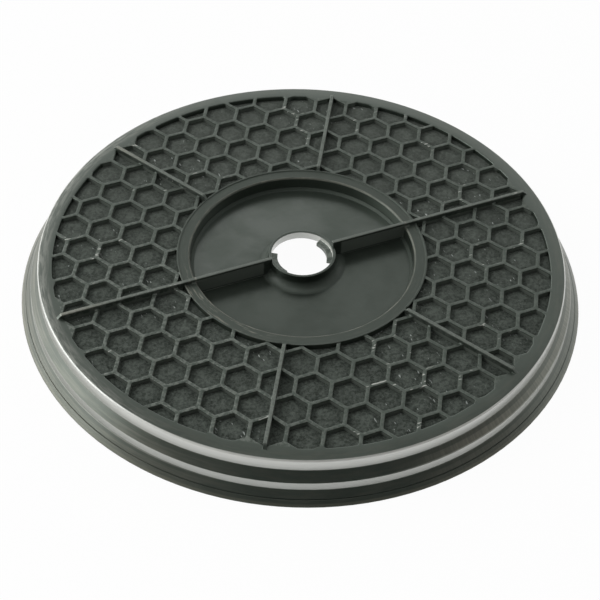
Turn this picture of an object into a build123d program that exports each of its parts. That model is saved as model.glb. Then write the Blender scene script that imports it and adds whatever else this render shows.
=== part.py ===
from build123d import *
import math
import os

os.makedirs("parts", exist_ok=True)

# Round cooker hood carbon filter, lying with its flange on the table.
# Millimetres, +Z up, origin on the bore axis at the underside of the flange.
# The long rib of the front face runs along X.

# Outer shape, from the top face down to the table
face_height = 17.8            # flat top face above the table
rim_bevel = 0.5
upper_wall_radius = 108.6
upper_wall_foot = 12.4        # where the upper wall turns into the first slope
lower_wall_radius = 112.05
lower_wall_head = 8.95
lower_wall_foot = 5.15
flange_radius = 116.5
flange_edge_height = 0.3      # small upright edge at the very bottom
shell_thickness = 1.5

# Honeycomb front
grid_depth = 2.2
cell_pitch = 13.85            # centre to centre, which is across the flats
cell_wall = 1.5
grid_inner_radius = 51.8
grid_outer_radius = 102.55
inner_cell_reach = 5.0        # how far inside the inner ring a cut cell's centre may lie
outer_cell_reach = 4.2        # how far outside the outer ring a cut cell's centre may lie
rib_width = 1.5
rib_rise = 1.85               # ribs stand this much over the top face
rib_end_radius = 104.6        # ribs run out onto the plain ring of the rim
rib_end_run = 1.8             # length of the slope at each end of a rib

# Dish and hub
dish_radius = 46.4
dish_depth = 6.0
dish_draft = 0.3
lip_bevel = 0.55
dish_corner_bevel = 1.0
floor_thickness = 1.6
ridge_width = 0.8
ridge_rise = 0.35
bore_radius = 12.75
bore_length = 2.2             # plain round stretch, from the collar's top to the lugs
lug_radius = 10.25
lug_half_angle = 32.0
lug_height = 1.8
collar_wall = 1.15
collar_foot_round = 3.8       # hollow round from the dish floor up to the collar
bore_draft = 0.25             # the bore opens by this much along the lugs
bore_flare = 4.3              # and by this much in all down to the dish's underside

# Rear tray
tray_plate = 1.6
tray_wall = 1.5
tray_clearance = 0.2          # between the tray walls and the front moulding
flange_height = 2.2
seam_height = 0.3             # open groove between the two mouldings
seam_depth = 0.35
rear_slot_rows = 3
rear_slot_pitch = 20.4        # along the middle of each row
rear_margin = 2.0             # plain ring between the slots and the tray's walls
rear_bar = 2.6

# Filling
fleece_thickness = 1.5
fill_clearance = 0.2

# How far pieces of one moulding reach into each other where they join
merge = 0.4

# Heights and radii that follow from the sizes above
face_underside = face_height - grid_depth
floor_top = face_height - dish_depth
floor_underside = floor_top - floor_thickness
lug_top = face_height - bore_length
lug_foot = lug_top - lug_height
seam_top = flange_height + seam_height
skirt_inner_top = upper_wall_radius - shell_thickness
skirt_inner_low = lower_wall_radius - shell_thickness
# a slope of the same wall thickness starts a little lower on the inside
inner_shift = shell_thickness * math.tan(math.radians(22.5))
dish_foot_radius = dish_radius - dish_draft
dish_outer_radius = dish_radius + shell_thickness
collar_radius = bore_radius + collar_wall


def slope_radius(z):
    """Radius of the lowest slope at height z."""
    share = (lower_wall_foot - z) / (lower_wall_foot - flange_edge_height)
    return lower_wall_radius + share * (flange_radius - lower_wall_radius)


def honeycomb_centres():
    """Centres of every cell that the two rings of the grid leave open."""
    centres = []
    reach = math.ceil((grid_outer_radius + outer_cell_reach) / cell_pitch / math.cos(math.radians(30)))
    for i in range(-reach, reach + 1):
        for j in range(-2 * reach, 2 * reach + 1):
            x = i * cell_pitch * math.cos(math.radians(30))
            y = i * cell_pitch * math.sin(math.radians(30)) + j * cell_pitch
            radius = math.hypot(x, y)
            if grid_inner_radius - inner_cell_reach < radius < grid_outer_radius + outer_cell_reach:
                centres.append((x, y))
    return centres


# Front moulding: outer skirt, honeycomb, ribs, dish and hub in one piece
with BuildPart() as front_grille:
    # stepped skirt, as a shell of even thickness
    with BuildSketch(Plane.XZ):
        with BuildLine():
            Polyline(
                (grid_outer_radius, face_underside),
                (grid_outer_radius, face_height),
                (upper_wall_radius - rim_bevel, face_height),
                (upper_wall_radius, face_height - rim_bevel),
                (upper_wall_radius, upper_wall_foot),
                (lower_wall_radius, lower_wall_head),
                (lower_wall_radius, lower_wall_foot),
                (slope_radius(seam_top), seam_top),
                (slope_radius(seam_top) - seam_depth, seam_top),
                (slope_radius(seam_top) - seam_depth, flange_height),
                (skirt_inner_low, flange_height),
                (skirt_inner_low, lower_wall_head - inner_shift),
                (skirt_inner_top, upper_wall_foot - inner_shift),
                (skirt_inner_top, face_underside),
                close=True,
            )
        make_face()
    revolve(axis=Axis.Z)
    # dish, from the fine ridge around it to the collar of the hub
    with BuildSketch(Plane.XZ):
        with BuildLine():
            round_centre = (collar_radius + collar_foot_round, floor_top + collar_foot_round)
            foot = CenterArc(round_centre, collar_foot_round, 270, -90)
            Polyline(
                foot @ 1,
                (collar_radius, face_height),
                (bore_radius, face_height),
                (bore_radius, lug_top),
                (bore_radius + bore_draft, lug_foot),
                (bore_radius + bore_flare, floor_underside),
                (dish_outer_radius, floor_underside),
                (dish_outer_radius, face_underside),
                (grid_inner_radius, face_underside),
                (grid_inner_radius, face_height + ridge_rise),
                (grid_inner_radius - ridge_width, face_height + ridge_rise),
                (grid_inner_radius - ridge_width, face_height),
                (dish_radius + lip_bevel, face_height),
                (dish_radius, face_height - lip_bevel),
                (dish_foot_radius, floor_top + dish_corner_bevel),
                (dish_foot_radius - dish_corner_bevel, floor_top),
                foot @ 0,
            )
        make_face()
    revolve(axis=Axis.Z)
    # honeycomb plate, closed by the two plain rings made above
    with BuildSketch(Plane.XY.offset(face_underside)):
        Circle(grid_outer_radius + merge)
        Circle(grid_inner_radius - merge, mode=Mode.SUBTRACT)
        with Locations(*honeycomb_centres()):
            RegularPolygon((cell_pitch - cell_wall) / math.sqrt(3), 6, mode=Mode.SUBTRACT)
    extrude(amount=grid_depth)
    # four short ribs over the grid only, each with a slope at both ends
    rib_start = grid_inner_radius - merge
    for angle in (60, 120, 240, 300):
        turn = math.radians(angle)
        outwards = (math.cos(turn), math.sin(turn), 0)
        across = (math.sin(turn), -math.cos(turn), 0)
        with BuildSketch(Plane((0, 0, 0), x_dir=outwards, z_dir=across)):
            with BuildLine():
                Polyline(
                    (rib_start, face_underside),
                    (rib_start, face_height),
                    (rib_start + rib_end_run, face_height + rib_rise),
                    (rib_end_radius - rib_end_run, face_height + rib_rise),
                    (rib_end_radius, face_height),
                    (rib_end_radius, face_underside),
                    close=True,
                )
            make_face()
        extrude(amount=rib_width / 2, both=True)
    # long rib, from the dish floor up, in two halves that end in the collar
    with BuildSketch(Plane.XZ):
        for side in (-1, 1):
            with BuildLine():
                Polyline(
                    (side * (collar_radius - merge), floor_top - merge),
                    (side * (collar_radius - merge), face_height + rib_rise),
                    (side * (rib_end_radius - rib_end_run), face_height + rib_rise),
                    (side * rib_end_radius, face_height),
                    (side * rib_end_radius, face_underside),
                    (side * (dish_outer_radius - merge), face_underside),
                    (side * (dish_outer_radius - merge), floor_top - merge),
                    close=True,
                )
            make_face()
    extrude(amount=rib_width / 2, both=True)
    # two bayonet lugs inside the bore, on the line of the long rib
    with BuildSketch(Plane.XY.offset(lug_foot)):
        for middle in (0, 180):
            start = middle - lug_half_angle
            with BuildLine():
                inner = CenterArc((0, 0), lug_radius, start, 2 * lug_half_angle)
                outer = CenterArc((0, 0), bore_radius + merge, start, 2 * lug_half_angle)
                Line(inner @ 0, outer @ 0)
                Line(inner @ 1, outer @ 1)
            make_face()
    extrude(amount=lug_height)
front_grille.part.label = "front_grille"
export_step(front_grille.part, "parts/front_grille.step")


# Rear moulding: flange, slotted floor and the two walls that hold the filling
tray_inner_face = dish_outer_radius + tray_clearance
tray_outer_face = skirt_inner_top - tray_clearance
fill_inner_face = tray_inner_face + tray_wall
fill_outer_face = tray_outer_face - tray_wall
slots_start = fill_inner_face + rear_margin
slots_end = fill_outer_face - rear_margin
row_pitch = (slots_end - slots_start + rear_bar) / rear_slot_rows

with BuildPart() as rear_tray:
    with BuildSketch(Plane.XZ):
        with BuildLine():
            Polyline(
                (tray_inner_face, 0),
                (flange_radius, 0),
                (flange_radius, flange_edge_height),
                (slope_radius(flange_height), flange_height),
                (tray_outer_face, flange_height),
                (tray_outer_face, face_underside),
                (fill_outer_face, face_underside),
                (fill_outer_face, tray_plate),
                (fill_inner_face, tray_plate),
                (fill_inner_face, face_underside),
                (tray_inner_face, face_underside),
                close=True,
            )
        make_face()
    revolve(axis=Axis.Z)
    # rows of slots with straight bars of even width between them
    with BuildSketch(Plane.XY):
        for row in range(rear_slot_rows):
            near = slots_start + row * row_pitch
            far = near + row_pitch - rear_bar
            count = round(math.pi * (near + far) / rear_slot_pitch)
            near_half = math.pi / count - math.asin(rear_bar / 2 / near)
            far_half = math.pi / count - math.asin(rear_bar / 2 / far)
            for step in range(count):
                turn = 2 * math.pi * step / count
                with BuildLine():
                    Polyline(
                        (near * math.cos(turn - near_half), near * math.sin(turn - near_half)),
                        (far * math.cos(turn - far_half), far * math.sin(turn - far_half)),
                        (far * math.cos(turn + far_half), far * math.sin(turn + far_half)),
                        (near * math.cos(turn + near_half), near * math.sin(turn + near_half)),
                        close=True,
                    )
                make_face()
    extrude(amount=tray_plate, mode=Mode.SUBTRACT)
rear_tray.part.label = "rear_tray"
export_step(rear_tray.part, "parts/rear_tray.step")


# Filling between the two walls: fleece, carbon granules, fleece
bed_inner = fill_inner_face + fill_clearance
bed_outer = fill_outer_face - fill_clearance
bed_foot = tray_plate + fleece_thickness
bed_head = face_underside - fleece_thickness

with BuildPart() as rear_fleece:
    with BuildSketch(Plane.XY.offset(tray_plate)):
        Circle(bed_outer)
        Circle(bed_inner, mode=Mode.SUBTRACT)
    extrude(amount=fleece_thickness)
rear_fleece.part.label = "rear_fleece"
export_step(rear_fleece.part, "parts/rear_fleece.step")

with BuildPart() as carbon_bed:
    with BuildSketch(Plane.XY.offset(bed_foot)):
        Circle(bed_outer)
        Circle(bed_inner, mode=Mode.SUBTRACT)
    extrude(amount=bed_head - bed_foot)
carbon_bed.part.label = "carbon_bed"
export_step(carbon_bed.part, "parts/carbon_bed.step")

with BuildPart() as front_fleece:
    with BuildSketch(Plane.XY.offset(bed_head)):
        Circle(bed_outer)
        Circle(bed_inner, mode=Mode.SUBTRACT)
    extrude(amount=fleece_thickness)
front_fleece.part.label = "front_fleece"
export_step(front_fleece.part, "parts/front_fleece.step")
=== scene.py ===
"""Dresses the cooker hood carbon filter and lights it as the photograph does."""

import logging
import math
from dataclasses import dataclass
from enum import Enum
from typing import Any, Callable, Iterable

import bmesh
import bpy
from mathutils import Matrix, Vector, noise


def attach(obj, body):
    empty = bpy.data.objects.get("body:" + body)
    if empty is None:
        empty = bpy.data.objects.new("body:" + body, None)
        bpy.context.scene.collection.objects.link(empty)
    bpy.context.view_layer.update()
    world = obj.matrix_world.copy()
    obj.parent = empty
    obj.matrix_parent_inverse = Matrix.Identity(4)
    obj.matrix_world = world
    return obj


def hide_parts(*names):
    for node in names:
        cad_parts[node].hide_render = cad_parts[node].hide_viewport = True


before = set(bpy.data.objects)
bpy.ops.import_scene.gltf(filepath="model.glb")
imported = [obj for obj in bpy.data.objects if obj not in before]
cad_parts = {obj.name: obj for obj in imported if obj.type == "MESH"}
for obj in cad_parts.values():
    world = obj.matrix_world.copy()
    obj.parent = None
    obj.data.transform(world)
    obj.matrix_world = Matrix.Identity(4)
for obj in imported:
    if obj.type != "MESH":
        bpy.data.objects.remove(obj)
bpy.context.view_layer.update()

log = logging.getLogger("carbon_filter")

MM = 0.001
NOISE_MIDDLE = 0.5
MIX_SHARE = 0
MIX_FIRST_COLOUR = 6
MIX_SECOND_COLOUR = 7
MIX_COLOUR_OUT = 2

Colour = tuple[float, float, float, float]
Span = tuple[float, float]
Mix = tuple[float, float]
Point = tuple[float, float, float]


class Channel(Enum):
    """Which of the three object axes a pattern reads."""

    X = "X"
    Y = "Y"
    Z = "Z"


@dataclass(frozen=True)
class Band:
    """A stretch of a value, with soft ends that lie inside it."""

    low: float
    high: float
    soft: float


@dataclass(frozen=True)
class Grain:
    """A noise pattern: the size of its largest patches in millimetres, its octaves, the strength
    of the finer ones, and the part of its range that a mask rises over."""

    size: float
    octaves: float
    fineness: float
    span: Span = (0.0, 1.0)


class Wire:
    """A shader socket that can be used in Python expressions."""

    def __init__(self, sheet: "ShaderSheet", socket: bpy.types.NodeSocket) -> None:
        """Wraps a socket.

        Args:
            sheet: The sheet whose node tree holds the socket.
            socket: The output socket to read from.
        """
        self.sheet = sheet
        self.socket = socket

    def _maths(self, operation: str, *values: Any) -> "Wire":
        """Adds a Math node on these values and returns its result."""
        return self.sheet.node("ShaderNodeMath", {"operation": operation}, dict(enumerate(values)))

    def __add__(self, other: Any) -> "Wire":
        """Sum."""
        return self._maths("ADD", self, other)

    __radd__ = __add__

    def __mul__(self, other: Any) -> "Wire":
        """Product."""
        return self._maths("MULTIPLY", self, other)

    __rmul__ = __mul__

    def __sub__(self, other: Any) -> "Wire":
        """Difference."""
        return self._maths("SUBTRACT", self, other)

    def __rsub__(self, other: Any) -> "Wire":
        """Difference, with the wire on the right."""
        return self._maths("SUBTRACT", other, self)

    def __truediv__(self, other: Any) -> "Wire":
        """Quotient."""
        return self._maths("DIVIDE", self, other)

    def __pow__(self, other: Any) -> "Wire":
        """Power."""
        return self._maths("POWER", self, other)

    def __abs__(self) -> "Wire":
        """Size without its sign."""
        return self._maths("ABSOLUTE", self)

    def angle_from(self, other: Any) -> "Wire":
        """Angle whose tangent is this value over the other one."""
        return self._maths("ARCTAN2", self, other)

    def scaled(self, base: float, gain: float) -> "Wire":
        """A base, and this value times a gain on top of it.

        Args:
            base: The result where this value is 0.
            gain: What is added where it is 1.

        Returns:
            The sum.
        """
        return base + gain * self

    def clamped(self, low: float = 0.0, high: float = 1.0) -> "Wire":
        """The value kept between two others."""
        return self._maths("MINIMUM", self._maths("MAXIMUM", self, low), high)

    def step(self, low: float, high: float) -> "Wire":
        """A smooth step from 0 at low to 1 at high.

        Args:
            low: Value at which the result is 0.
            high: Value at which the result is 1.

        Returns:
            The stepped value.
        """
        settings = {"interpolation_type": "SMOOTHSTEP"}
        inputs = {"Value": self, "From Min": low, "From Max": high}
        return self.sheet.node("ShaderNodeMapRange", settings, inputs)

    def between(self, band: Band) -> "Wire":
        """1 inside a band and 0 outside it, with soft ends."""
        rise = self.step(band.low, band.low + band.soft)
        return rise * (1.0 - self.step(band.high - band.soft, band.high))

    def between_any(self, bands: Iterable[Band]) -> "Wire":
        """1 inside any of several bands that lie apart."""
        mask, *others = (self.between(band) for band in bands)
        for other in others:
            mask = mask + other
        return mask


class ShaderSheet:
    """The node tree of one material or of the world."""

    def __init__(self, owner: bpy.types.ID) -> None:
        """Empties the owner's node tree.

        Args:
            owner: The material or world to draw nodes in.
        """
        owner.use_nodes = True
        self.owner = owner
        self.tree = owner.node_tree
        self.tree.nodes.clear()

    def node(self, kind: str, settings: dict[str, Any], inputs: dict[Any, Any],
             output: Any = 0) -> Wire:
        """Adds one node.

        Args:
            kind: The node's type.
            settings: Attributes of the node, which are set first.
            inputs: Socket name or number to a value or a wire.
            output: Name or number of the output to return.

        Returns:
            The chosen output as a wire.
        """
        made = self.tree.nodes.new(kind)
        for key, value in settings.items():
            setattr(made, key, value)
        for key, value in inputs.items():
            if isinstance(value, Wire):
                self.tree.links.new(value.socket, made.inputs[key])
            else:
                made.inputs[key].default_value = value
        return Wire(self, made.outputs[output])

    def object_mm(self) -> Wire:
        """The point in object coordinates, in millimetres."""
        point = self.node("ShaderNodeTexCoord", {}, {}, "Object")
        inputs = {0: point, "Scale": 1.0 / MM}
        return self.node("ShaderNodeVectorMath", {"operation": "SCALE"}, inputs)

    def axis(self, point: Wire, channel: Channel) -> Wire:
        """One coordinate of a point."""
        return self.node("ShaderNodeSeparateXYZ", {}, {"Vector": point}, channel.value)

    def joined(self, x: Any, y: Any, z: Any) -> Wire:
        """A point from three values."""
        return self.node("ShaderNodeCombineXYZ", {}, {"X": x, "Y": y, "Z": z})

    def turned(self, point: Wire, turn: float, stretch: Point) -> Wire:
        """A point turned about the axis and scaled, for patterns that lie at an angle.

        Args:
            point: The point.
            turn: Angle in radians.
            stretch: Scale along each axis.

        Returns:
            The new point.
        """
        inputs = {"Vector": point, "Rotation": (0.0, 0.0, turn), "Scale": stretch}
        return self.node("ShaderNodeMapping", {}, inputs)

    def noise(self, point: Wire, grain: Grain) -> Wire:
        """Soft noise between 0 and 1.

        Args:
            point: Where the noise is read.
            grain: The pattern.

        Returns:
            The noise value.
        """
        inputs = {"Vector": point, "Scale": 1.0 / grain.size, "Detail": grain.octaves,
                  "Roughness": grain.fineness}
        return self.node("ShaderNodeTexNoise", {"noise_dimensions": "3D"}, inputs, "Fac")

    def patches(self, point: Wire, grain: Grain) -> Wire:
        """Soft patches, which rise from 0 to 1 over the pattern's own span.

        Args:
            point: Where the noise is read.
            grain: The pattern.

        Returns:
            The mask of the patches.
        """
        return self.noise(point, grain).step(*grain.span)

    def fibres(self, point: Wire, grain: Grain) -> Wire:
        """Thin curling lines, 1 on a line and 0 away from it.

        Args:
            point: Where the pattern is read.
            grain: The pattern, whose span is the width of a line.

        Returns:
            The mask of the lines.
        """
        return 1.0 - abs(self.noise(point, grain) - NOISE_MIDDLE).step(*grain.span)

    def colour_mix(self, share: Any, low: Any, high: Any) -> Wire:
        """A colour between two others.

        Args:
            share: 0 for the first colour, 1 for the second.
            low: First colour, linear.
            high: Second colour, linear.

        Returns:
            The mixed colour.
        """
        inputs = {MIX_SHARE: share, MIX_FIRST_COLOUR: low, MIX_SECOND_COLOUR: high}
        return self.node("ShaderNodeMix", {"data_type": "RGBA"}, inputs, MIX_COLOUR_OUT)

    def layered(self, colour: Any, layers: Iterable[tuple[Wire, Colour]]) -> Any:
        """Lays colours over a first one.

        Args:
            colour: The lowest colour.
            layers: The share and the colour of each layer, from the lowest up.

        Returns:
            The mixed colour.
        """
        for share, over in layers:
            colour = self.colour_mix(share, colour, over)
        return colour

    def bump(self, height: Wire, distance: float) -> Wire:
        """A bumped normal.

        Args:
            height: Height between 0 and 1.
            distance: Real height of 1, in metres.

        Returns:
            The normal.
        """
        return self.node("ShaderNodeBump", {}, {"Height": height, "Distance": distance})

    def principled(self, inputs: dict[str, Any]) -> bpy.types.Material:
        """Closes the material with a Principled surface.

        Args:
            inputs: Socket name to value or wire.

        Returns:
            The finished material.
        """
        surface = self.node("ShaderNodeBsdfPrincipled", {}, inputs, "BSDF")
        self.close(surface, "ShaderNodeOutputMaterial")
        return self.owner

    def close(self, surface: Wire, end_kind: str) -> None:
        """Links a surface to a new output node.

        Args:
            surface: The surface or background.
            end_kind: Type of the output node.
        """
        end = self.tree.nodes.new(end_kind)
        self.tree.links.new(surface.socket, end.inputs["Surface"])


def rgba(red: float, green: float, blue: float) -> Colour:
    """An opaque colour."""
    return (red, green, blue, 1.0)


@dataclass
class Place:
    """Where a point of the moulding lies and the patterns on it, as wires, in millimetres."""

    sheet: ShaderSheet
    arc_radius: float = 108.6
    left_side: Span = (-0.914, 0.406)
    lower_left_side: Span = (-0.933, -0.360)
    far_side: Span = (0.406, 0.914)
    face: Span = (16.8, 17.4)
    grid: Band = Band(52.2, 102.2, 0.4)
    cloud_grain: Grain = Grain(26.0, 3.0, 0.55)
    mottle_grain: Grain = Grain(2.2, 3.0, 0.6)
    around_stretch: float = 0.05
    around_grain: Grain = Grain(0.9, 3.0, 0.65, (0.3, 0.7))

    def __post_init__(self) -> None:
        """Draws the nodes that every layer of the finish reads."""
        self.point = self.sheet.object_mm()
        self.x, self.y, self.z = (self.sheet.axis(self.point, channel) for channel in Channel)
        self.radius = (self.x * self.x + self.y * self.y) ** 0.5
        self.arc = self.x.angle_from(self.y * -1.0) * self.arc_radius
        self.left = self.towards(self.left_side)
        self.right = self.left * -1.0
        self.lower_left = self.towards(self.lower_left_side)
        self.far = self.towards(self.far_side)
        self.on_face = self.z.step(*self.face)
        self.in_grid = self.radius.between(self.grid)
        self.clouds = self.sheet.noise(self.point, self.cloud_grain)
        self.mottle = self.sheet.noise(self.point, self.mottle_grain)
        self.around = self.streaks_around(self.around_stretch, self.around_grain)

    def towards(self, side: Span) -> Wire:
        """How far the point is turned towards a side.

        Args:
            side: Direction in the plane of the face.

        Returns:
            1 on that side, -1 on the opposite one.
        """
        return (self.x * side[0] + self.y * side[1]) / self.radius

    def streaks_around(self, stretch: float, grain: Grain) -> Wire:
        """Streaks that run around the axis.

        Args:
            stretch: Share of the arc's length that the noise sees.
            grain: The noise.

        Returns:
            The mask.
        """
        drawn_out = self.sheet.joined(self.arc * stretch, self.z, self.radius)
        return self.sheet.patches(drawn_out, grain)

    def streaks_down(self, stretch: float, grain: Grain) -> Wire:
        """Streaks that run down the rim.

        Args:
            stretch: Share of the height and the radius that the noise sees.
            grain: The noise.

        Returns:
            The mask.
        """
        drawn_out = self.sheet.joined(self.arc, self.z * stretch, self.radius * stretch)
        return self.sheet.patches(drawn_out, grain)


@dataclass
class RimWearAndPaintedLight:
    """Wear and painted light of the stepped rim: walls painted pale as a painted reflection,
    slopes painted paler at the left and right as a painted reflection broken by streaks, painted
    highlights along the edges of the steps, and the seam.

    A mix is a share without its pattern, and what the pattern adds.
    """

    place: Place
    skirt: Span = (107.95, 108.15)
    lower_skirt: Span = (111.65, 111.95)
    upper_wall: Band = Band(12.4, 17.9, 0.3)
    upper_loss: Mix = (0.20, 0.18)
    upper_loss_side: Span = (0.3, 0.8)
    upper_loss_heights: Span = (12.4, 17.8)
    lower_wall: Band = Band(5.15, 9.0, 0.35)
    lower_share: Mix = (0.64, 0.26)
    right_side: Span = (0.3, 0.7)
    far_side: Span = (0.25, 0.8)
    far_loss: float = 0.5
    pale_share: Mix = (0.92, 0.08)
    left_wall_side: Span = (0.45, 0.95)
    pale_left_loss: float = 0.32
    coat_share: float = 0.95
    coat_left_loss: float = 0.4
    wall_end: Span = (0.0, 0.4)
    flange_top: Span = (0.1, 0.3)
    flange_share: Mix = (0.45, 0.55)
    down_stretch: float = 0.06
    down_grain: Grain = Grain(0.9, 3.0, 0.6, (0.35, 0.7))
    right_painted_sheen: Mix = (0.42, 0.26)
    left_slope_side: Span = (0.1, 0.85)
    left_painted_sheen: Mix = (0.13, 0.32)
    under_walls: tuple[Band, ...] = (Band(10.9, 12.3, 0.2), Band(3.9, 4.9, 0.2))
    under_loss: float = 0.6
    right_lines: tuple[Band, ...] = (Band(17.3, 18.0, 0.2), Band(8.5, 9.4, 0.2))
    right_line_share: float = 0.4
    left_lines: tuple[Band, ...] = (
        Band(12.2, 12.8, 0.2), Band(8.5, 9.2, 0.2), Band(4.7, 5.3, 0.2))
    left_line_share: float = 0.28
    line_side: Span = (0.2, 0.7)
    flange_edge_band: Band = Band(0.1, 1.3, 0.3)
    flange_edge_share: Mix = (0.25, 0.5)
    seam_band: Band = Band(2.0, 2.7, 0.1)
    seam_share: float = 0.5
    seam_left_loss: float = 0.3
    seam_side: Span = (0.2, 0.8)
    ring: Span = (103.2, 105.6)
    ring_stretch: float = 0.12
    ring_grain: Grain = Grain(1.1, 3.0, 0.65, (0.38, 0.66))
    ring_side: Span = (0.35, 0.95)
    ring_share: Mix = (0.16, 0.7)
    ring_edge: Span = (105.6, 108.0)
    ring_edge_share: Mix = (0.40, 0.60)
    warm_ring: Span = (103.0, 105.5)
    warm_share: float = 0.35

    def __post_init__(self) -> None:
        """Draws the masks of the rim."""
        place = self.place
        self.outer = place.radius.step(*self.skirt)
        self.ring_streaks = place.streaks_around(self.ring_stretch, self.ring_grain)
        self.walls = self._walls()
        self.slopes = self._slopes()
        self.painted_edge_highlights = self._edge_lines()
        self.ring_painted_light = self._ring_painted_light()
        # A paler olive band on the flange's outer edge, strongest at the left and right.
        left_share = abs(place.left).scaled(*self.flange_edge_share)
        self.flange_edge = self.outer * place.z.between(self.flange_edge_band) * left_share
        left_loss = self.seam_left_loss * place.left.step(*self.seam_side)
        seam_share = self.seam_share - left_loss
        self.seam = self.outer * place.z.between(self.seam_band) * seam_share
        self.warmth = place.radius.step(*self.warm_ring) * self.ring_streaks * self.warm_share
        on_left = place.left.step(*self.left_wall_side)
        # Painted reflection: the walls are painted pale, less on the left.
        pale = self.walls * place.around.scaled(*self.pale_share)
        self.painted_wall_reflection = pale * (1.0 - self.pale_left_loss * on_left)
        self.coat = self.walls * self.coat_share * (1.0 - self.coat_left_loss * on_left)

    def _walls(self) -> Wire:
        """The two upright walls, which carry the painted reflection."""
        place = self.place
        loss = place.right.step(*self.upper_loss_side).scaled(*self.upper_loss)
        kept = 1.0 - loss * (1.0 - place.z.step(*self.upper_loss_heights))
        upper = self.outer * place.z.between(self.upper_wall) * kept
        lower = place.radius.step(*self.lower_skirt) * place.z.between(self.lower_wall)
        lower = lower * place.right.step(*self.right_side).scaled(*self.lower_share)
        return (upper + lower).clamped() * (1.0 - self.far_loss * place.far.step(*self.far_side))

    def _slopes(self) -> Wire:
        """Painted reflection on the slopes under the walls, at the left and right, broken by
        streaks and least just under each wall.
        """
        place = self.place
        off_walls = 1.0 - self.walls.step(*self.wall_end)
        below = 1.0 - place.z.step(self.upper_wall.low, self.upper_wall.high)
        slopes = self.outer * off_walls * below * place.z.step(*self.flange_top)
        flange = place.z.step(self.lower_wall.low, self.lower_wall.high)
        down = place.streaks_down(self.down_stretch, self.down_grain)
        right = place.right.step(*self.right_side) * down.scaled(*self.right_painted_sheen)
        right = right * flange.scaled(*self.flange_share)
        left = place.left.step(*self.left_slope_side) * place.around.scaled(*self.left_painted_sheen)
        kept = 1.0 - place.z.between_any(self.under_walls) * self.under_loss
        return slopes * ((left + right) * kept)

    def _edge_lines(self) -> Wire:
        """Painted highlights: pale lines along the edges of the steps, on the left and right."""
        place = self.place
        right = self.outer * place.z.between_any(self.right_lines)
        right = right * place.right.step(*self.line_side) * self.right_line_share
        left = self.outer * place.z.between_any(self.left_lines)
        return right + left * place.left.step(*self.line_side) * self.left_line_share

    def _ring_painted_light(self) -> Wire:
        """Painted light in streaks on the plain ring of the face, on the left."""
        place = self.place
        ring = place.radius.step(*self.ring) * place.on_face
        wear = ring * place.left.step(*self.ring_side) * self.ring_streaks.scaled(*self.ring_share)
        return wear * place.radius.step(*self.ring_edge).scaled(*self.ring_edge_share)


@dataclass
class FaceWearAndPaintedLight:
    """Wear and painted light of the honeycomb and the ribs: painted glints, pale specks most at
    the lower left, painted fill light on the sides of the windows and the ribs, and painted
    highlights at the ribs' left ends.
    """

    place: Place
    glint_turn: float = 0.5
    glint_stretch: Point = (0.35, 1.3, 1.0)
    glint_grain: Grain = Grain(1.3, 1.0, 0.5, (0.65, 0.71))
    glint_patches: Grain = Grain(22.0, 1.0, 0.5, (0.55, 0.65))
    window_top: Span = (17.1, 17.5)
    crumb_grain: Grain = Grain(1.5, 3.0, 0.6, (0.43, 0.60))
    crumb_share: Mix = (0.34, 0.56)
    crumb_side: Span = (0.45, 0.95)
    dull_grain: Grain = Grain(8.0, 3.0, 0.6, (0.38, 0.62))
    dull_share: float = 0.30
    rib_top: Span = (18.9, 19.4)
    rib_end: Span = (78.0, 102.0)
    rib_end_side: Span = (0.4, 0.95)
    rib_end_share: float = 0.4
    rib_side: Span = (0.95, 1.10)
    rib_side_radii: Band = Band(17.0, 49.0, 0.6)
    rib_side_heights: Band = Band(12.2, 18.9, 0.3)

    def __post_init__(self) -> None:
        """Draws the masks of the face."""
        place = self.place
        sheet = place.sheet
        # Painted glints: short pale strokes on the tops of the honeycomb.
        drawn_out = sheet.turned(place.point, self.glint_turn, self.glint_stretch)
        painted_glints = sheet.patches(drawn_out, self.glint_grain)
        painted_glints = painted_glints * sheet.patches(place.point, self.glint_patches)
        self.painted_glints = painted_glints * place.in_grid * place.on_face
        # The sides of the windows, painted lighter as painted fill light.
        self.window_sides = place.in_grid * (1.0 - place.z.step(*self.window_top))
        crumbs = sheet.patches(place.point, self.crumb_grain)
        crumb_share = place.lower_left.step(*self.crumb_side).scaled(*self.crumb_share)
        self.speckle = place.in_grid * place.on_face * crumbs * crumb_share
        dull = place.in_grid * place.on_face * sheet.patches(place.point, self.dull_grain)
        self.dull_tops = dull * self.dull_share
        self.rib_tops = place.z.step(*self.rib_top)
        # Painted highlight: the rib tops are painted paler at their left ends.
        rib_end_highlights = self.rib_tops * place.left.step(*self.rib_end_side)
        self.rib_end_highlights = rib_end_highlights * place.radius.step(*self.rib_end) * self.rib_end_share
        # The sides of the ribs in the dish, painted lighter as painted fill light.
        rib_sides = 1.0 - abs(place.y).step(*self.rib_side)
        rib_sides = rib_sides * place.radius.between(self.rib_side_radii)
        self.rib_sides = rib_sides * place.z.between(self.rib_side_heights)


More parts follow.
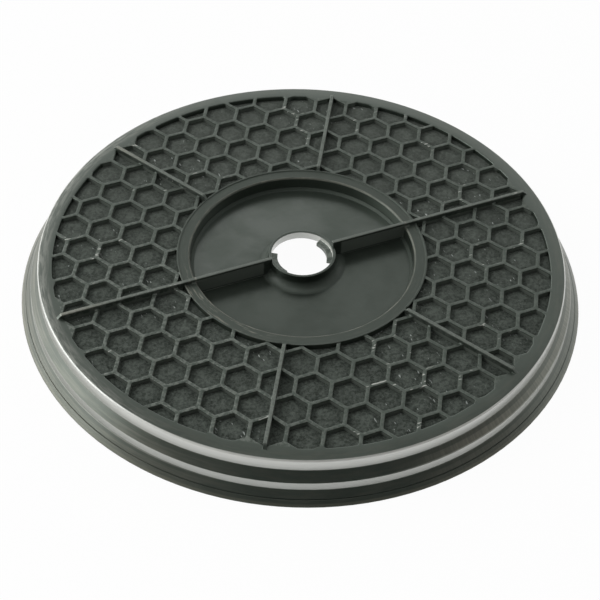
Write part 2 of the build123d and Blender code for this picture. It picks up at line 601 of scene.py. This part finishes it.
@dataclass
class DishWearAndPaintedLight:
    """Wear and painted light of the dish: a painted reflection in its bore, scuffed lugs, painted
    shade on its lip and corner, painted highlights on its lip, and a cloudy floor painted darker
    towards the front and right.
    """

    place: Place
    bore_radii: Band = Band(12.6, 13.2, 0.1)
    bore_heights: Band = Band(13.6, 17.5, 0.4)
    lug_radii: Band = Band(9.95, 12.75, 0.2)
    lug_mottle: Span = (0.35, 0.65)
    lip_radii: Band = Band(46.2, 52.0, 0.5)
    lip_top: Span = (16.6, 17.6)
    lip_stretch: float = 0.05
    lip_grain: Grain = Grain(0.7, 2.0, 0.6, (0.5, 0.7))
    lip_share: Mix = (0.04, 0.40)
    lip_side: Span = (0.80, 0.98)
    lip_edge_radii: Band = Band(46.2, 47.3, 0.3)
    lip_edge_top: Span = (16.9, 17.4)
    lip_edge_share: Mix = (0.05, 0.30)
    dish_end: Span = (44.1, 46.6)
    corner_radii: Band = Band(44.6, 46.6, 0.4)
    corner_top: Span = (12.8, 13.6)
    foot_radii: Band = Band(13.8, 18.4, 0.8)
    foot_top: Span = (14.8, 16.3)
    back_slope: Span = (0.008, 0.020)
    back_middle: float = 0.45
    floor_grain: Grain = Grain(15.0, 4.0, 0.62, (0.38, 0.62))
    cloud_loss: float = 0.4
    back_cloud_gloss: float = 0.09
    back_gloss: float = 0.06
    cloud_gloss: float = 0.04
    plain_gloss: float = 0.05

    def __post_init__(self) -> None:
        """Draws the masks of the dish."""
        place = self.place
        radius, z = place.radius, place.z
        # Painted reflection: the wall of the bore is painted pale.
        self.bore = radius.between(self.bore_radii) * z.between(self.bore_heights)
        self.lugs = radius.between(self.lug_radii) * place.mottle.step(*self.lug_mottle)
        self.lip = radius.between(self.lip_radii) * z.step(*self.lip_top)
        # Painted highlights: pale streaks on the lip, most at the lower left.
        lip_lines = place.streaks_around(self.lip_stretch, self.lip_grain)
        lip_share = place.lower_left.step(*self.lip_side).scaled(*self.lip_share)
        self.lip_painted_highlights = self.lip * lip_lines * lip_share
        # Painted highlight: a pale line along the lip's inner edge.
        lip_edge_highlight = radius.between(self.lip_edge_radii) * z.step(*self.lip_edge_top)
        self.lip_edge_highlight = lip_edge_highlight * place.around.scaled(*self.lip_edge_share)
        self.corner = radius.between(self.corner_radii) * (1.0 - z.step(*self.corner_top))
        self.collar_foot = radius.between(self.foot_radii) * (1.0 - z.step(*self.foot_top))
        inside = 1.0 - radius.step(*self.dish_end)
        back = place.y * self.back_slope[1] - place.x * self.back_slope[0]
        back = (back + self.back_middle).clamped()
        clouds = place.sheet.patches(place.point, self.floor_grain)
        # Painted shade: the floor is painted darker towards the front and right, and the lip and
        # the corner are painted dark with it.
        dark = inside * (1.0 - back) * (1.0 - self.cloud_loss * clouds)
        self.shade = self.lip + self.corner + dark
        light = back * (self.back_cloud_gloss * clouds + self.back_gloss * back)
        light = inside * (light + self.cloud_gloss * clouds)
        plain = (1.0 - inside) * (1.0 - place.in_grid) * self.plain_gloss
        self.gloss = (light + plain) * (1.0 - self.corner)


@dataclass(frozen=True)
class MouldedPlastic:
    """Dark greenish grey moulded plastic, satin, with a painted reflection on the rim's walls and
    in the bore.

    The pale walls stand in for a bright reflection.
    """

    name: str = "grille_plastic"
    body: Colour = rgba(0.016, 0.021, 0.0165)
    cloud: Colour = rgba(0.027, 0.034, 0.0275)
    # Painted highlight: pale colour for the painted reflection on the rim's walls and in the bore,
    # painted highlights on the steps, glints and painted light on the ring.
    painted_highlight: Colour = rgba(0.68, 0.68, 0.63)
    # Painted sheen: pale warm colour for the painted reflection on the slopes and painted
    # highlights on the rib ends and the lip.
    painted_sheen: Colour = rgba(0.318, 0.297, 0.246)
    warm: Colour = rgba(0.060, 0.056, 0.044)
    scuff: Colour = rgba(0.110, 0.118, 0.106)
    # Painted fill light: a lighter grey for the shaded sides of the windows and the ribs.
    painted_fill: Colour = rgba(0.150, 0.168, 0.148)
    # A paler olive colour for the flange's outer edge.
    flange_edge_olive: Colour = rgba(0.135, 0.132, 0.100)
    # Painted shade: near black for the dish's lip, corner and floor.
    dark: Colour = rgba(0.005, 0.007, 0.005)
    cloud_span: Span = (0.3, 0.7)
    cloud_share: float = 0.6
    mottle_span: Span = (0.45, 0.75)
    mottle_share: float = 0.3
    window_dust: float = 0.85
    rib_dust: float = 0.9
    dark_share: float = 0.9
    lug_scuff: float = 0.9
    rib_scuff: float = 0.55
    ring_share: float = 0.5
    glint_share: float = 0.6
    roughness: float = 0.29
    cloud_roughness: float = 0.10
    mottle_roughness: float = 0.06
    lip_roughness: float = 0.25
    corner_roughness: float = 0.35
    wall_roughness: float = 0.08
    ior: float = 1.85
    tint: Colour = rgba(0.86, 1.0, 0.87)
    bore_coat: float = 0.9
    coat_roughness: float = 0.25
    coat_ior: float = 2.8
    bump_height: float = 0.012
    bump_grain: Grain = Grain(0.5, 2.0, 0.6)
    mottle_bump: float = 1.5
    cloud_bump: float = 14.0
    crown_start: float = 103.2
    crown_width: float = 6.0
    crown_fall: float = 0.009

    def build(self) -> bpy.types.Material:
        """Makes the material."""
        place = Place(ShaderSheet(bpy.data.materials.new(self.name)))
        rim, face, dish = RimWearAndPaintedLight(place), FaceWearAndPaintedLight(place), DishWearAndPaintedLight(place)
        coat = (dish.gloss + rim.coat + dish.bore * self.bore_coat).clamped()
        return place.sheet.principled({
            "Base Color": self._colour(place, rim, face, dish),
            "Roughness": self._roughness(place, rim, face, dish),
            "IOR": self.ior,
            "Specular Tint": self.tint,
            "Coat Weight": coat * (1.0 - dish.lip),
            "Coat Roughness": self.coat_roughness,
            "Coat IOR": self.coat_ior,
            "Normal": self._normal(place),
        })

    def _colour(self, place: Place, rim: RimWearAndPaintedLight, face: FaceWearAndPaintedLight, dish: DishWearAndPaintedLight) -> Wire:
        """Lays the colours over each other.

        Args:
            place: Where the point lies.
            rim: Wear and painted light of the rim.
            face: Wear and painted light of the honeycomb and the ribs.
            dish: Wear and painted light of the dish.

        Returns:
            The base colour.
        """
        clouds = place.clouds.step(*self.cloud_span) * self.cloud_share
        clouds = clouds + place.mottle.step(*self.mottle_span) * self.mottle_share
        # Painted fill light: the sides of the windows and of the ribs in the dish are painted
        # lighter.
        painted_light = face.window_sides * self.window_dust + face.rib_sides * self.rib_dust
        # Painted shade: the dish's lip, its corner and the front right of its floor are painted
        # dark.
        dark = dish.shade.clamped() * (1.0 - face.rib_sides) * self.dark_share
        scuffs = dish.lugs * self.lug_scuff + face.speckle + face.rib_tops * self.rib_scuff
        # Painted reflection and highlights: the slopes, the left ends of the ribs, the lip and its
        # edge are painted paler.
        painted_sheen = rim.slopes + face.rib_end_highlights + dish.lip_painted_highlights + dish.lip_edge_highlight
        # Painted reflection and highlights: the walls, the edges of the steps, the ring's left
        # side, the bore and glints on the honeycomb are painted pale.
        painted_highlight = rim.painted_wall_reflection + rim.painted_edge_highlights + rim.ring_painted_light * self.ring_share
        painted_highlight = painted_highlight + dish.bore + face.painted_glints * self.glint_share
        return place.sheet.layered(self.body, (
            (clouds, self.cloud),
            (rim.warmth, self.warm),
            (rim.flange_edge, self.flange_edge_olive),
            (painted_light.clamped(), self.painted_fill),
            (dark, self.dark),
            (scuffs.clamped(), self.scuff),
            (painted_sheen.clamped(), self.painted_sheen),
            (painted_highlight.clamped(), self.painted_highlight),
            (rim.seam, self.body),
        ))

    def _roughness(self, place: Place, rim: RimWearAndPaintedLight, face: FaceWearAndPaintedLight, dish: DishWearAndPaintedLight) -> Wire:
        """Satin faces, with a duller lip, corners, walls and patches of the honeycomb."""
        matt = dish.lip * self.lip_roughness + dish.collar_foot * self.corner_roughness
        matt = matt + dish.corner * self.corner_roughness + rim.walls * self.wall_roughness
        matt = matt + face.dull_tops
        rough = self.roughness + (place.clouds - NOISE_MIDDLE) * self.cloud_roughness
        return rough + place.mottle * self.mottle_roughness + matt

    def _normal(self, place: Place) -> Wire:
        """The skin's fine grain, its waves and a slight crown on the plain ring."""
        past_grid = (place.radius - self.crown_start).clamped(0.0, self.crown_width)
        past_grid = past_grid * place.on_face
        crown = past_grid * past_grid * (-self.crown_fall / self.bump_height)
        skin = place.sheet.noise(place.point, self.bump_grain) + place.mottle * self.mottle_bump
        skin = skin + place.clouds * self.cloud_bump + crown
        return place.sheet.bump(skin, self.bump_height * MM)


@dataclass(frozen=True)
class Fleece:
    """Dark non-woven fleece, fuzzy, with loose fibres, a few pale flecks and painted light that
    makes it paler towards the back.
    """

    name: str = "fleece"
    deep: Colour = rgba(0.024, 0.030, 0.024)
    fuzz: Colour = rgba(0.100, 0.117, 0.101)
    fibre: Colour = rgba(0.115, 0.130, 0.115)
    fleck: Colour = rgba(0.42, 0.45, 0.43)
    painted_light: Colour = rgba(0.125, 0.138, 0.122)
    felt_grain: Grain = Grain(1.3, 4.0, 0.68)
    felt_span: Span = (0.38, 0.62)
    felt_share: float = 0.62
    clump_grain: Grain = Grain(4.5, 3.0, 0.6)
    clump_span: Span = (0.35, 0.65)
    clump_share: float = 0.38
    long_fibres: Grain = Grain(1.6, 1.0, 0.4, (0.0, 0.035))
    long_share: float = 0.6
    short_fibres: Grain = Grain(0.8, 1.0, 0.4, (0.0, 0.05))
    short_share: float = 0.4
    fibre_share: float = 0.5
    back_side: Span = (0.4, 0.9)
    back_reach: Span = (-60.0, 100.0)
    painted_light_share: float = 0.34
    fleck_turn: float = 0.5
    fleck_stretch: Point = (1.0, 0.3, 1.0)
    fleck_grain: Grain = Grain(1.0, 1.0, 0.5, (0.69, 0.76))
    fleck_patches: Grain = Grain(26.0, 1.0, 0.5, (0.50, 0.64))
    roughness: float = 0.92
    fleck_gloss: float = 0.6
    specular: float = 0.3
    bump_height: float = 0.6
    felt_bump: float = 0.6
    clump_bump: float = 0.25
    fibre_bump: float = 0.15

    def build(self) -> bpy.types.Material:
        """Makes the material."""
        sheet = ShaderSheet(bpy.data.materials.new(self.name))
        point = sheet.object_mm()
        felt = sheet.noise(point, self.felt_grain)
        clumps = sheet.noise(point, self.clump_grain)
        fibres = sheet.fibres(point, self.long_fibres) * self.long_share
        fibres = fibres + sheet.fibres(point, self.short_fibres) * self.short_share
        fuzz = felt.step(*self.felt_span) * self.felt_share
        fuzz = fuzz + clumps.step(*self.clump_span) * self.clump_share
        back = sheet.axis(point, Channel.Y) * self.back_side[1]
        back = back + sheet.axis(point, Channel.X) * self.back_side[0]
        drawn_out = sheet.turned(point, self.fleck_turn, self.fleck_stretch)
        flecks = sheet.patches(drawn_out, self.fleck_grain)
        flecks = flecks * sheet.patches(point, self.fleck_patches)
        relief = felt * self.felt_bump + clumps * self.clump_bump + fibres * self.fibre_bump
        return sheet.principled({
            "Base Color": sheet.layered(self.deep, (
                (fuzz, self.fuzz),
                (fibres * self.fibre_share, self.fibre),
                # Painted light: the fleece is painted paler towards the back.
                (back.step(*self.back_reach) * self.painted_light_share, self.painted_light),
                (flecks, self.fleck),
            )),
            "Roughness": self.roughness - flecks * self.fleck_gloss,
            "Specular IOR Level": self.specular,
            "Normal": sheet.bump(relief, self.bump_height * MM),
        })


@dataclass(frozen=True)
class Charcoal:
    """Black charcoal granules, packed tight."""

    name: str = "charcoal"
    body: Colour = rgba(0.010, 0.010, 0.010)
    facet: Colour = rgba(0.045, 0.045, 0.046)
    granule: float = 2.2
    grain: Grain = Grain(2.2, 2.0, 0.6, (0.35, 0.75))
    roughness: float = 0.55
    relief: float = 1.0

    def build(self) -> bpy.types.Material:
        """Makes the material."""
        sheet = ShaderSheet(bpy.data.materials.new(self.name))
        point = sheet.object_mm()
        cells = {"Vector": point, "Scale": 1.0 / self.granule}
        distance = sheet.node("ShaderNodeTexVoronoi", {"feature": "F1"}, cells, "Distance")
        facets = sheet.patches(point, self.grain)
        return sheet.principled({
            "Base Color": sheet.colour_mix(facets, self.body, self.facet),
            "Roughness": self.roughness,
            "Normal": sheet.bump(1.0 - distance, self.relief * MM),
        })


def deselect_all() -> None:
    """Leaves nothing selected."""
    bpy.ops.object.select_all(action="DESELECT")


def make_active(piece: bpy.types.Object) -> None:
    """Selects this piece alone."""
    deselect_all()
    piece.select_set(True)
    bpy.context.view_layer.objects.active = piece


def dress(piece: bpy.types.Object, material: bpy.types.Material) -> None:
    """Gives a piece this one material."""
    piece.data.materials.clear()
    piece.data.materials.append(material)


@dataclass
class SoftenedMoulding:
    """A moulding of the frame with the small rounds that its tool leaves on every edge."""

    node: str
    name: str
    slot: str
    top_round: float
    edge_round: float
    top_height: float = 17.8 * MM
    top_radii: Span = (51.9 * MM, 102.7 * MM)
    seam_heights: Span = (1.9 * MM, 2.8 * MM)
    seam_share: float = 0.25
    segments: int = 3
    edge_angle: float = 28.0
    height_slack: float = 0.01 * MM
    merge_distance: float = 0.002 * MM
    flat_weight: int = 60

    def weigh_edges(self, piece: bpy.types.Object) -> None:
        """Marks how wide each sharp edge is rounded: the honeycomb's top widest, the seam least.

        Args:
            piece: The moulding with its doubles merged.
        """
        mesh = bmesh.new()
        mesh.from_mesh(piece.data)
        weights = mesh.edges.layers.float.new("bevel_weight_edge")
        for edge in mesh.edges:
            sharp = edge.calc_face_angle(0.0) >= math.radians(self.edge_angle)
            if len(edge.link_faces) != 2 or not sharp:
                continue
            ends = [vertex.co for vertex in edge.verts]
            radii = [math.hypot(end.x, end.y) for end in ends]
            on_top = all(abs(end.z - self.top_height) < self.height_slack for end in ends)
            in_grid = all(self.top_radii[0] < radius < self.top_radii[1] for radius in radii)
            at_seam = all(self.seam_heights[0] < end.z < self.seam_heights[1] for end in ends)
            width = self.top_round if on_top and in_grid else self.edge_round
            edge[weights] = (self.seam_share if at_seam else 1.0) * width / self.top_round
        mesh.to_mesh(piece.data)
        mesh.free()

    def build(self, material: bpy.types.Material) -> bpy.types.Object:
        """Copies the node, rounds its edges and takes its place.

        Args:
            material: The finish of the moulding.

        Returns:
            The finished piece.
        """
        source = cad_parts[self.node]
        piece = bpy.data.objects.new(self.name, source.data.copy())
        bpy.context.scene.collection.objects.link(piece)
        make_active(piece)
        bpy.ops.object.mode_set(mode="EDIT")
        bpy.ops.mesh.select_all(action="SELECT")
        bpy.ops.mesh.remove_doubles(threshold=self.merge_distance)
        bpy.ops.object.mode_set(mode="OBJECT")
        self.weigh_edges(piece)
        bevel = piece.modifiers.new("edge_round", "BEVEL")
        bevel.width = self.top_round
        bevel.segments = self.segments
        bevel.limit_method = "WEIGHT"
        bevel.use_clamp_overlap = False
        bevel.miter_outer = "MITER_ARC"
        bpy.ops.object.modifier_apply(modifier=bevel.name)
        bpy.ops.object.shade_smooth()
        weighted = piece.modifiers.new("flat_faces", "WEIGHTED_NORMAL")
        weighted.mode = "FACE_AREA_WITH_ANGLE"
        weighted.weight = self.flat_weight
        weighted.keep_sharp = False
        bpy.ops.object.modifier_apply(modifier=weighted.name)
        dress(piece, material)
        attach(piece, "root")
        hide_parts(self.node)
        return piece


def gentle_rise(share: float) -> float:
    """A smooth rise from 0 at 0 to 1 at 1."""
    share = min(max(share, 0.0), 1.0)
    return share * share * (3.0 - 2.0 * share)


@dataclass(frozen=True)
class HoneycombWindows:
    """The windows that the honeycomb and the ribs leave over the front fleece, in millimetres."""

    pitch: float = 13.85
    wall: float = 1.5
    inner_radius: float = 51.8
    outer_radius: float = 102.55
    rib_half_width: float = 0.75
    rib_angles: tuple[float, ...] = (0.0, 60.0, 120.0)
    flat_angles: tuple[float, ...] = (30.0, 90.0, 150.0)

    def depth(self, x: float, y: float) -> float:
        """How far a point lies inside its window.

        Args:
            x: Place along the long rib.
            y: Place across it.

        Returns:
            Distance to the nearest edge of the window, negative under the plastic.
        """
        flats = [math.radians(angle) for angle in self.flat_angles]
        slant = math.cos(flats[0])
        middle = round(x / (self.pitch * slant))
        reach = -math.inf
        for column in (middle - 1, middle, middle + 1):
            centre_x = column * self.pitch * slant
            offset = column * self.pitch / 2.0
            centre_y = round((y - offset) / self.pitch) * self.pitch + offset
            across, along = x - centre_x, y - centre_y
            spread = max(abs(across * math.cos(flat) + along * math.sin(flat)) for flat in flats)
            reach = max(reach, (self.pitch - self.wall) / 2.0 - spread)
        for angle in self.rib_angles:
            turn = math.radians(angle)
            reach = min(reach, abs(y * math.cos(turn) - x * math.sin(turn)) - self.rib_half_width)
        radius = math.hypot(x, y)
        return min(reach, radius - self.inner_radius, self.outer_radius - radius)


@dataclass(frozen=True)
class TraySlots:
    """The rows of slots under the rear fleece, in millimetres."""

    rows: int = 3
    start_radius: float = 51.6
    end_radius: float = 103.4
    bar: float = 2.6
    pitch: float = 20.4

    def depth(self, x: float, y: float) -> float:
        """How far a point lies inside its slot.

        Args:
            x: Place along the long rib.
            y: Place across it.

        Returns:
            Distance to the nearest edge of the slot, negative over the plastic.
        """
        radius = math.hypot(x, y)
        row_pitch = (self.end_radius - self.start_radius + self.bar) / self.rows
        row = min(max(int((radius - self.start_radius) // row_pitch), 0), self.rows - 1)
        near = self.start_radius + row * row_pitch
        far = near + row_pitch - self.bar
        sector = 2.0 * math.pi / round(math.pi * (near + far) / self.pitch)
        off_middle = abs((math.atan2(y, x) + sector / 2.0) % sector - sector / 2.0)
        to_bar = radius * (sector / 2.0 - off_middle) - self.bar / 2.0
        return min(radius - near, far - radius, to_bar)


@dataclass
class FleecePad:
    """A ring of fleece that swells a little into the openings of the moulding on it."""

    node: str
    name: str
    depth: Callable[[float, float], float]
    bed_height: float
    open_height: float
    inner_radius: float = 49.8
    outer_radius: float = 105.2
    swell: float = 0.5
    swell_run: float = 3.2
    clump_height: float = 0.22
    clump_size: float = 4.5
    clump_layer: float = 7.0
    tuft_height: float = 0.10
    tuft_size: float = 1.5
    tuft_layer: float = 3.0
    sink: float = 0.02
    smooth_angle: float = 50.0
    rings: int = 66
    sectors: int = 640
    held: str = "laid"
    rests_on: tuple[str, ...] = ("carbon_bed",)

    def height_at(self, x: float, y: float) -> float:
        """Height of the open face over a point, in millimetres.

        Args:
            x: Place along the long rib.
            y: Place across it.

        Returns:
            The height, swollen away from the bed where there is an opening.
        """
        side = 1.0 if self.open_height > self.bed_height else -1.0
        inside = self.depth(x, y)
        loose = gentle_rise(inside / self.swell_run)
        clump = noise.noise(Vector((x, y, self.clump_layer * side)) / self.clump_size)
        tuft = noise.noise(Vector((x, y, self.tuft_layer * side)) / self.tuft_size)
        lift = loose * (self.swell + self.clump_height * clump + self.tuft_height * tuft)
        return self.open_height + side * (max(lift, 0.0) - self.sink)

    def ring_of_points(self, mesh: bmesh.types.BMesh, radius: float,
                       height_at: Callable[[float, float], float]) -> list[bmesh.types.BMVert]:
        """Adds one ring of points.

        Args:
            mesh: The mesh to add them to.
            radius: Radius of the ring, in millimetres.
            height_at: Height of the face over a point, in millimetres.

        Returns:
            The new points, in order around the ring.
        """
        points = []
        for sector in range(self.sectors):
            turn = 2.0 * math.pi * sector / self.sectors
            x, y = radius * math.cos(turn), radius * math.sin(turn)
            points.append(mesh.verts.new((x * MM, y * MM, height_at(x, y) * MM)))
        return points

    def build(self, material: bpy.types.Material) -> bpy.types.Object:
        """Models the ring, dresses it and takes the node's place.

        Args:
            material: The finish of the fleece.

        Returns:
            The finished piece.
        """
        mesh = bmesh.new()
        width = self.outer_radius - self.inner_radius
        radii = [self.inner_radius + width * ring / self.rings for ring in range(self.rings + 1)]
        rows = [self.ring_of_points(mesh, radius, self.height_at) for radius in radii]
        for radius in (self.outer_radius, self.inner_radius):
            rows.append(self.ring_of_points(mesh, radius, lambda x, y: self.bed_height))
        rows.append(rows[0])
        for low, high in zip(rows, rows[1:]):
            for sector in range(self.sectors):
                after = (sector + 1) % self.sectors
                mesh.faces.new((low[sector], high[sector], high[after], low[after]))
        bmesh.ops.recalc_face_normals(mesh, faces=mesh.faces)
        data = bpy.data.meshes.new(self.name)
        mesh.to_mesh(data)
        mesh.free()
        piece = bpy.data.objects.new(self.name, data)
        bpy.context.scene.collection.objects.link(piece)
        make_active(piece)
        bpy.ops.object.shade_smooth_by_angle(angle=math.radians(self.smooth_angle))
        dress(piece, material)
        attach(piece, "root")
        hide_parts(self.node)
        across = 2.0 * self.outer_radius * MM
        area = math.pi * (self.outer_radius ** 2 - self.inner_radius ** 2) * MM * MM
        return piece


@dataclass
class Filling:
    """The charcoal bed between its two layers of fleece."""

    bed_node: str = "carbon_bed"

    def build(self) -> list[bpy.types.Object]:
        """Makes both pads, dresses the bed and returns all three."""
        fleece = Fleece().build()
        front = FleecePad("front_fleece", "front_pad", HoneycombWindows().depth,
                          bed_height=14.1, open_height=15.6)
        rear = FleecePad("rear_fleece", "rear_pad", TraySlots().depth,
                         bed_height=3.1, open_height=1.6, swell=0.4, rings=48, sectors=480,
                         rests_on=("rear_tray",))
        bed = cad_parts[self.bed_node]
        dress(bed, Charcoal().build())
        return [front.build(fleece), rear.build(fleece), bed]


@dataclass(frozen=True)
class Softbox:
    """A square lamp that points at the middle of the object: place and side in metres, watts."""

    name: str
    place: Point
    side: float
    power: float

    def build(self) -> None:
        """Adds the lamp to the scene."""
        data = bpy.data.lights.new(self.name, "AREA")
        data.shape = "SQUARE"
        data.size = self.side
        data.energy = self.power
        lamp = bpy.data.objects.new(self.name, data)
        lamp.location = self.place
        lamp.rotation_euler = (-Vector(self.place)).to_track_quat("-Z", "Y").to_euler()
        bpy.context.scene.collection.objects.link(lamp)


@dataclass
class Studio:
    """Pale floor, soft sky, two lamps and the camera of the photograph."""

    lens_mm: float = 93.47
    sensor_mm: float = 36.0
    aim_mm: Point = (-11.08, -24.60, 17.8)
    distance_mm: float = 625.16
    height_deg: float = 46.102
    turn_deg: float = -23.92
    roll_deg: float = 2.254
    floor_size: float = 6.0
    floor_gap_mm: float = 0.02
    floor_grey: Colour = rgba(0.84, 0.84, 0.84)
    floor_glow: float = 0.965
    white: Colour = rgba(1.0, 1.0, 1.0)
    sky_low: float = 1.02
    sky_low_edge: Span = (0.61, 0.82)
    sky_low_mix: Mix = (0.64, 0.46)
    sky_low_side: Span = (-0.9, 0.7)
    sky_high: float = 0.20
    sky_front: float = 0.12
    sky_behind: Span = (-0.3, 0.3)
    sky_left: float = 0.7
    sky_left_edge: Span = (0.0, 0.5)
    sky_left_side: Span = (0.0, 0.7)
    lamps: tuple[Softbox, ...] = (
        Softbox("left_softbox", (-1.00, 0.48, 0.80), 1.1, 10.0),
        Softbox("top_softbox", (-0.15, 0.0, 1.8), 1.3, 5.0),
    )

    def camera_axes(self) -> tuple[Vector, Vector, Vector]:
        """The camera's right, up and forward directions in the frame."""
        turn = math.radians(self.turn_deg)
        height = math.radians(self.height_deg)
        roll = math.radians(self.roll_deg)
        right = Vector((math.cos(turn), math.sin(turn), 0.0))
        away = Vector((-math.sin(turn), math.cos(turn), 0.0))
        forward = away * math.cos(height) - Vector((0.0, 0.0, math.sin(height)))
        level_up = right.cross(forward)
        rolled_right = right * math.cos(roll) + level_up * math.sin(roll)
        rolled_up = level_up * math.cos(roll) - right * math.sin(roll)
        return rolled_right, rolled_up, forward

    def build_camera(self) -> None:
        """Adds the camera and makes it the scene's own."""
        right, up, forward = self.camera_axes()
        data = bpy.data.cameras.new("photo_camera")
        data.sensor_fit = "HORIZONTAL"
        data.sensor_width = self.sensor_mm
        data.lens = self.lens_mm
        camera = bpy.data.objects.new("photo_camera", data)
        place = Vector(self.aim_mm) * MM - forward * self.distance_mm * MM
        turn = Matrix((right, up, -forward)).transposed().to_4x4()
        camera.matrix_world = Matrix.Translation(place) @ turn
        bpy.context.scene.collection.objects.link(camera)
        bpy.context.scene.camera = camera

    def build_floor(self) -> None:
        """Adds the floor, nearly white to the camera and white in reflections."""
        deselect_all()
        place = (0.0, 0.0, -self.floor_gap_mm * MM)
        bpy.ops.mesh.primitive_plane_add(size=self.floor_size, location=place)
        floor = bpy.context.object
        floor.name = "floor"
        sheet = ShaderSheet(bpy.data.materials.new("pale_floor"))
        plain = sheet.node("ShaderNodeBsdfDiffuse", {}, {"Color": self.floor_grey}, "BSDF")
        light = {"Color": self.white, "Strength": 1.0}
        glow = sheet.node("ShaderNodeEmission", {}, light, "Emission")
        rays = ("Is Camera Ray", "Is Glossy Ray", "Is Transmission Ray")
        camera, glossy, through = (sheet.node("ShaderNodeLightPath", {}, {}, ray) for ray in rays)
        share = (camera * self.floor_glow + glossy + through).clamped()
        surface = sheet.node("ShaderNodeMixShader", {}, {0: share, 1: plain, 2: glow}, "Shader")
        sheet.close(surface, "ShaderNodeOutputMaterial")
        dress(floor, sheet.owner)

    def build_sky(self) -> None:
        """Adds a soft sky: bright low down behind and on the left, white to the camera itself."""
        world = bpy.data.worlds.new("studio_sky")
        bpy.context.scene.world = world
        sheet = ShaderSheet(world)
        direction = sheet.node("ShaderNodeTexCoord", {}, {}, "Generated")
        x, y, z = (sheet.axis(direction, channel) for channel in Channel)
        turn = math.radians(self.turn_deg)
        away = x * -math.sin(turn) + y * math.cos(turn)
        leftwards = x * -math.cos(turn) + y * -math.sin(turn)
        low = 1.0 - z.step(*self.sky_low_edge)
        low = low * leftwards.step(*self.sky_low_side).scaled(*self.sky_low_mix) * self.sky_low
        behind = away.step(*self.sky_behind) * (self.sky_high - self.sky_front + low)
        left = (1.0 - z.step(*self.sky_left_edge)) * leftwards.step(*self.sky_left_side)
        strength = self.sky_front + behind + left * self.sky_left
        camera = sheet.node("ShaderNodeLightPath", {}, {}, "Is Camera Ray")
        strength = strength * (1.0 - camera) + camera
        inputs = {"Color": self.white, "Strength": strength}
        light = sheet.node("ShaderNodeBackground", {}, inputs, "Background")
        sheet.close(light, "ShaderNodeOutputWorld")

    def build(self) -> None:
        """Sets the whole studio up."""
        bpy.context.scene.view_settings.view_transform = "Standard"
        self.build_camera()
        self.build_floor()
        self.build_sky()
        for lamp in self.lamps:
            lamp.build()


def report(pieces: Iterable[bpy.types.Object]) -> None:
    """Logs each piece with its faces."""
    for piece in pieces:
        log.info("%s has %d faces", piece.name, len(piece.data.polygons))


def main() -> None:
    """Builds the dressed filter and its studio."""
    logging.basicConfig(level=logging.INFO, format="%(name)s: %(message)s")
    plastic = MouldedPlastic().build()
    tray_plastic = MouldedPlastic(name="tray_plastic").build()
    grille = SoftenedMoulding("front_grille", "grille_moulding", "grille_plastic",
                              top_round=0.56 * MM, edge_round=0.20 * MM)
    tray = SoftenedMoulding("rear_tray", "tray_moulding", "tray_plastic",
                            top_round=0.18 * MM, edge_round=0.18 * MM)
    pieces = [grille.build(plastic), tray.build(tray_plastic)]
    pieces += Filling().build()
    report(pieces)
    Studio().build()


if __name__ == "__main__":
    main()
